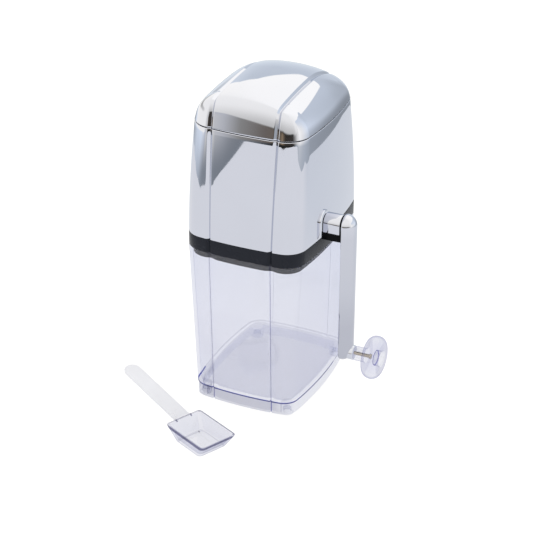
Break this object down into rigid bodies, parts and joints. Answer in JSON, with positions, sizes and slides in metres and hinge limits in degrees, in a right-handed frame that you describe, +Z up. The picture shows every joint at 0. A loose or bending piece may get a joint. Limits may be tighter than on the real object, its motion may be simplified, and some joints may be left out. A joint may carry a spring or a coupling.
{
  "type": "hand crank ice crusher",
  "caption": "Tall hand-cranked ice crusher: clear bucket, chromed housing with hinged dome lid, toothed rotor turned by a side crank, and a loose clear scoop.",
  "frame": {"origin": "centre of the four feet, on the surface the crusher stands on", "axes": "+Z up, -Y the front, +X the crank side"},
  "size_m": [0.1885, 0.1982, 0.2558],
  "materials": {
    "clear_plastic": "glossy clear moulded plastic, faint blue-violet tint",
    "scoop_plastic": "clear moulded plastic, frosted handle",
    "clear_pad": "clear soft pad",
    "chrome_plating": "bright chrome plating on plastic",
    "dark_plastic": "semi-gloss slate grey moulding",
    "black_plastic": "black moulding",
    "inner_plastic": "satin grey moulding",
    "bush_plastic": "natural acetal",
    "steel": "ground stainless steel",
    "spindle_metal": "turned metal rod"
  },
  "bodies": {
    "bucket": {"bucket": "clear_plastic", "foot_pads": "clear_pad"},
    "housing": {"base_ring": "dark_plastic", "housing_shell": "chrome_plating", "hinge_pin": "steel", "ice_hopper": "inner_plastic", "breaker_comb": "steel", "comb_screws": "steel", "hopper_screws": "steel", "shell_screws": "steel", "crank_escutcheon": "chrome_plating", "bearing_block": "black_plastic", "bearing_cover": "chrome_plating", "bush_left": "bush_plastic", "bush_right": "bush_plastic"},
    "lid": {"lid": "chrome_plating"},
    "crank": {"crank_shaft": "steel", "shaft_clip": "steel", "rotor_blades": "steel", "rotor_spacers": "bush_plastic", "crank_arm": "chrome_plating", "knob_collar": "chrome_plating", "knob_spindle": "spindle_metal"},
    "knob": {"knob": "clear_plastic"},
    "scoop": {"scoop": "scoop_plastic"}
  },
  "joints": [
    {"name": "housing_lift", "type": "slide", "parent": "bucket", "child": "housing", "axis": [0, 0, 1], "range_m": [0, 0.06]},
    {"name": "lid_hinge", "type": "hinge", "parent": "housing", "child": "lid", "pos_m": [0, 0.0576, 0.227], "axis": [-1, 0, 0], "range_deg": [0, 95]},
    {"name": "crank_turn", "type": "hinge", "parent": "housing", "child": "crank", "pos_m": [0.0593, -0.021, 0.1554], "axis": [1, 0, 0], "continuous": true},
    {"name": "knob_spin", "type": "hinge", "parent": "crank", "child": "knob", "pos_m": [0.086, -0.021, 0.0496], "axis": [1, 0, 0], "continuous": true},
    {"name": "scoop_lift", "type": "slide", "parent": "bucket", "child": "scoop", "axis": [0, 0, 1], "range_m": [0, 0.15]}
  ]
}
